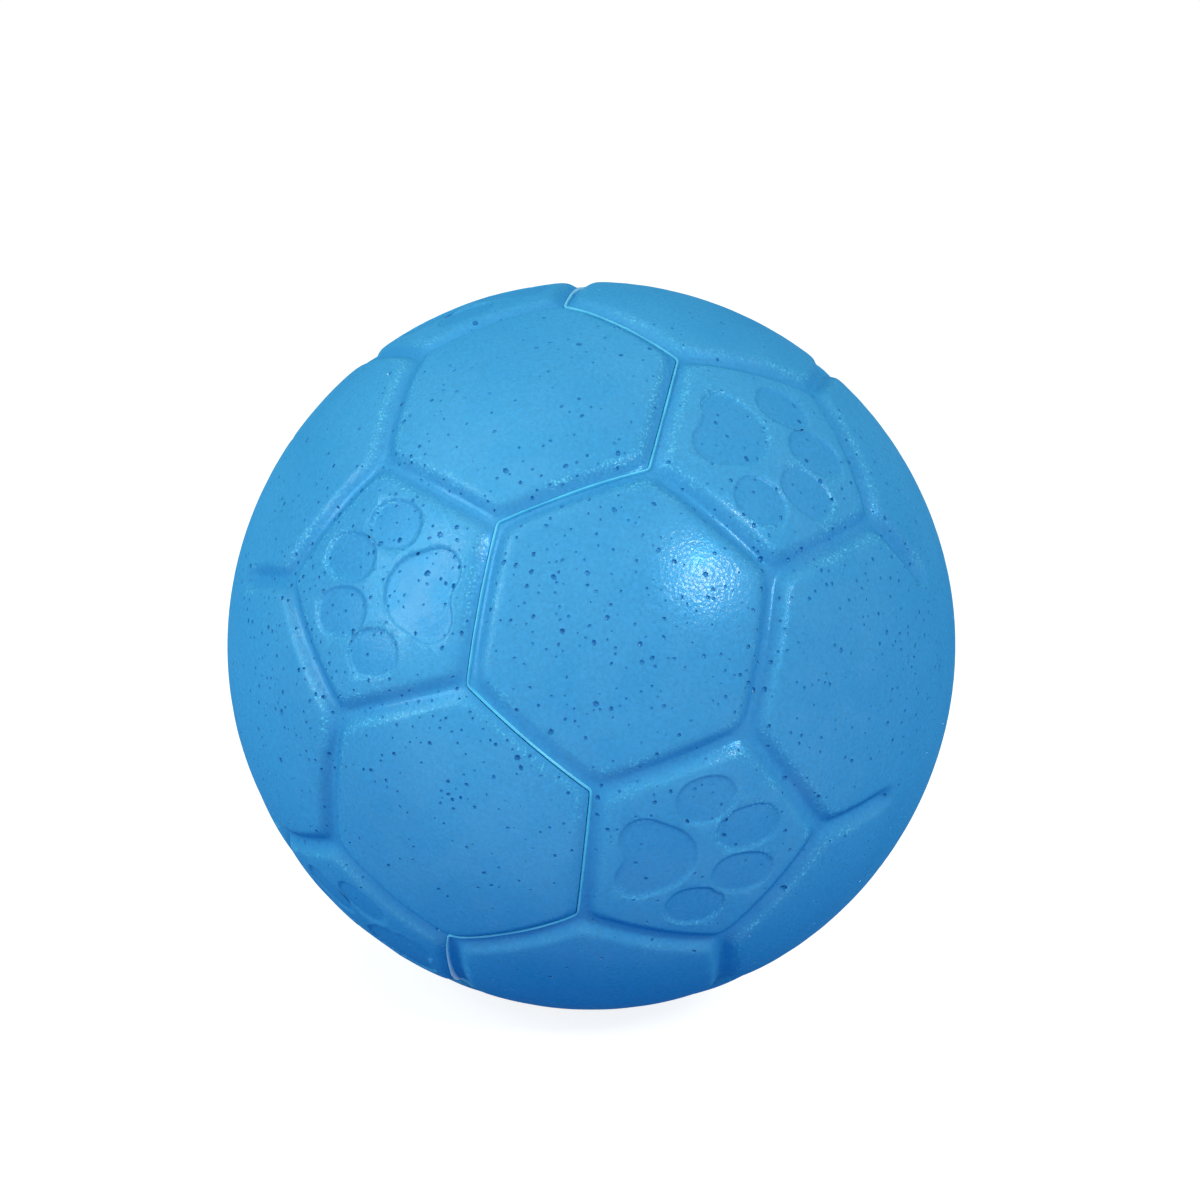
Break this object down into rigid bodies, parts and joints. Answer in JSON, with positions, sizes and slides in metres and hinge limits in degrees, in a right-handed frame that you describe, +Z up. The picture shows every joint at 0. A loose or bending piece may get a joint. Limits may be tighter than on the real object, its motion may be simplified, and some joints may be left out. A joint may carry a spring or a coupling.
{
  "type": "dog toy soccer ball",
  "caption": "Foam-rubber fetch ball for dogs with football panels, soft grooves and shallow paw prints, in two cover halves round a foam core.",
  "frame": {"origin": "centre of the ball", "axes": "+X along the mould axis to the round pole cap of right_cover, +Z up; -Y, towards the viewer in the picture, runs through the middle of a seam edge between two hexagons"},
  "size_m": [0.075, 0.075, 0.075],
  "materials": {
    "cover": "satin blown foam rubber with pinholes",
    "bond": "satin rubber cement",
    "core": "matte open foam"
  },
  "bodies": {
    "root": {"left_cover": "cover", "right_cover": "cover", "seam_bond": "bond", "foam_core": "core"}
  },
  "joints": []
}
